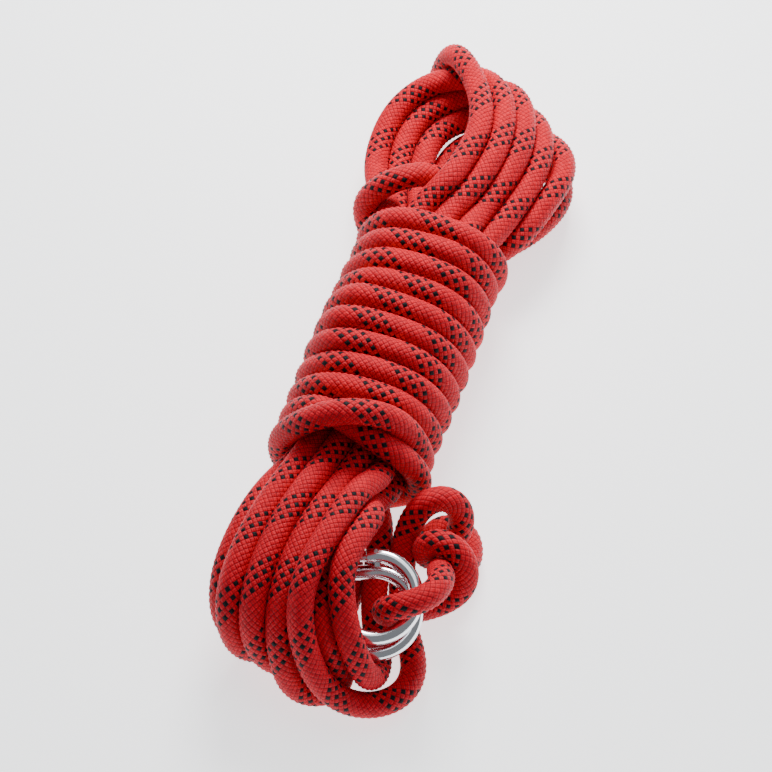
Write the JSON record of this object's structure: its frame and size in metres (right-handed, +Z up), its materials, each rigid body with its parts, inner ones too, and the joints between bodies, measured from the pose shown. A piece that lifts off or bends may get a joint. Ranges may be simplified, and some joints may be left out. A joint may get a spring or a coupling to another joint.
{
  "type": "dynamic climbing rope",
  "caption": "Short braided dynamic climbing rope in a wrapped hank, with a knotted end loop through screw-lock carabiners.",
  "frame": {"origin": "on the floor under the middle of the wrapped waist", "axes": "+Y along the hank from the carabiner end to the plain bights, +Z up from the floor it lies on, +X to the side where the knot lies"},
  "size_m": [0.1171, 0.311, 0.063],
  "materials": {
    "sheath": "braided nylon sheath, red with black tracer yarns",
    "core": "twisted nylon core strands",
    "polished_steel": "polished plated steel",
    "sleeve_steel": "knurled plated steel",
    "end_cap_metal": "crimped plated steel",
    "spring_steel": "plain steel",
    "nylon": "black nylon"
  },
  "bodies": {
    "rope": {"rope_waist_strands": "sheath", "rope_waist_wraps": "sheath", "rope_top_bights": "sheath", "rope_bottom_bights_front": "sheath", "rope_bottom_bights_return": "sheath", "rope_knot": "sheath", "rope_loop_sheath": "sheath", "rope_loop_core": "core", "rope_end_tail": "sheath", "rope_end_cap": "end_cap_metal"},
    "upper_carabiner": {"upper_carabiner_bow": "polished_steel", "upper_carabiner_hinge_rivet": "spring_steel", "upper_carabiner_latch_pin": "spring_steel"},
    "upper_gate": {"upper_carabiner_gate": "polished_steel", "upper_carabiner_gate_spring": "spring_steel", "upper_carabiner_spring_plunger": "spring_steel"},
    "upper_sleeve_ring": {"upper_carabiner_friction_ring": "nylon"},
    "upper_sleeve": {"upper_carabiner_screw_sleeve": "sleeve_steel"},
    "lower_carabiner": {"lower_carabiner_bow": "polished_steel", "lower_carabiner_hinge_rivet": "spring_steel", "lower_carabiner_latch_pin": "spring_steel"},
    "lower_gate": {"lower_carabiner_gate": "polished_steel", "lower_carabiner_gate_spring": "spring_steel", "lower_carabiner_spring_plunger": "spring_steel"},
    "lower_sleeve_ring": {"lower_carabiner_friction_ring": "nylon"},
    "lower_sleeve": {"lower_carabiner_screw_sleeve": "sleeve_steel"}
  },
  "joints": [
    {"name": "upper_carabiner_swing", "type": "hinge", "parent": "rope", "child": "upper_carabiner", "pos_m": [0.03942, -0.11085, 0.03524], "axis": [0.0016, -0.2555, 0.9668], "range_deg": [-10, 6]},
    {"name": "upper_gate_hinge", "type": "hinge", "parent": "upper_carabiner", "child": "upper_gate", "pos_m": [-0.0076, -0.10501, 0.03686], "axis": [-0.0016, 0.2555, -0.9668], "range_deg": [0, 32], "stiffness_Nm_per_rad": 0.3, "springref_deg": -20.05},
    {"name": "upper_sleeve_travel", "type": "slide", "parent": "upper_gate", "child": "upper_sleeve_ring", "axis": [0.9379, 0.3358, 0.0872], "range_m": [0, 0.0055]},
    {"name": "upper_sleeve_turn", "type": "hinge", "parent": "upper_sleeve_ring", "child": "upper_sleeve", "pos_m": [0.00834, -0.0993, 0.03834], "axis": [0.9379, 0.3358, 0.0872], "range_deg": [0, 1320]},
    {"name": "lower_carabiner_swing", "type": "hinge", "parent": "rope", "child": "lower_carabiner", "pos_m": [0.03942, -0.11085, 0.03524], "axis": [0.0016, -0.2555, 0.9668], "range_deg": [-10, 3]},
    {"name": "lower_gate_hinge", "type": "hinge", "parent": "lower_carabiner", "child": "lower_gate", "pos_m": [-0.00449, -0.12409, 0.02271], "axis": [0.0016, -0.2555, 0.9668], "range_deg": [0, 32], "stiffness_Nm_per_rad": 0.3, "springref_deg": -20.05},
    {"name": "lower_sleeve_travel", "type": "slide", "parent": "lower_gate", "child": "lower_sleeve_ring", "axis": [0.9966, -0.0788, -0.0225], "range_m": [0, 0.0055]},
    {"name": "lower_sleeve_turn", "type": "hinge", "parent": "lower_sleeve_ring", "child": "lower_sleeve", "pos_m": [0.01246, -0.12543, 0.02233], "axis": [0.9966, -0.0788, -0.0225], "range_deg": [0, 1320]}
  ],
  "couplings": [
    {"joint": "upper_sleeve_turn", "follows": "upper_sleeve_travel", "rad_per_m": 4188.8},
    {"joint": "lower_sleeve_turn", "follows": "lower_sleeve_travel", "rad_per_m": 4188.8}
  ]
}
